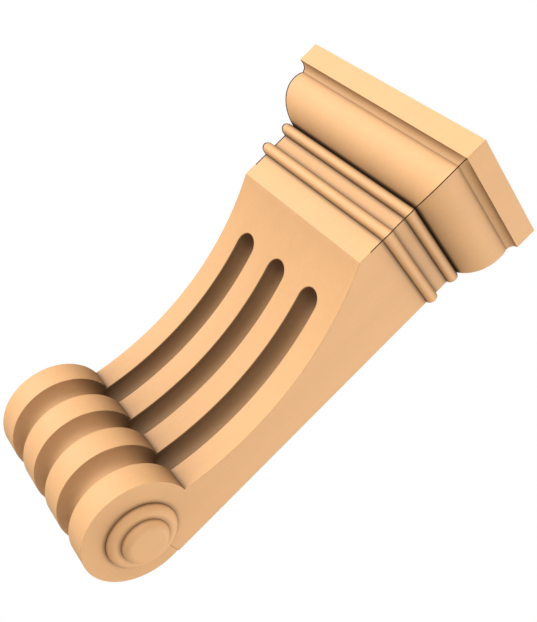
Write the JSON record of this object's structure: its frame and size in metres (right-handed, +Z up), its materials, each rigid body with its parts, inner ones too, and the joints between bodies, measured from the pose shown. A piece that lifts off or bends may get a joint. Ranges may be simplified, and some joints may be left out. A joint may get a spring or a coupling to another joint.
{
  "type": "wooden corbel bracket",
  "caption": "Carved wooden corbel with a moulded cap, a hollowed and fluted front, and a grooved scroll foot with a rosette on each side.",
  "frame": {"origin": "middle of the flat back, where the bracket is fixed to a wall", "axes": "+X to the right seen from the front, +Y into the wall, -Y to the front, +Z up"},
  "size_m": [0.102, 0.0522, 0.1982],
  "materials": {
    "wood": "pale close-grained hardwood, sanded smooth, unpainted and without varnish"
  },
  "bodies": {
    "root": {"corbel": "wood"}
  },
  "joints": []
}
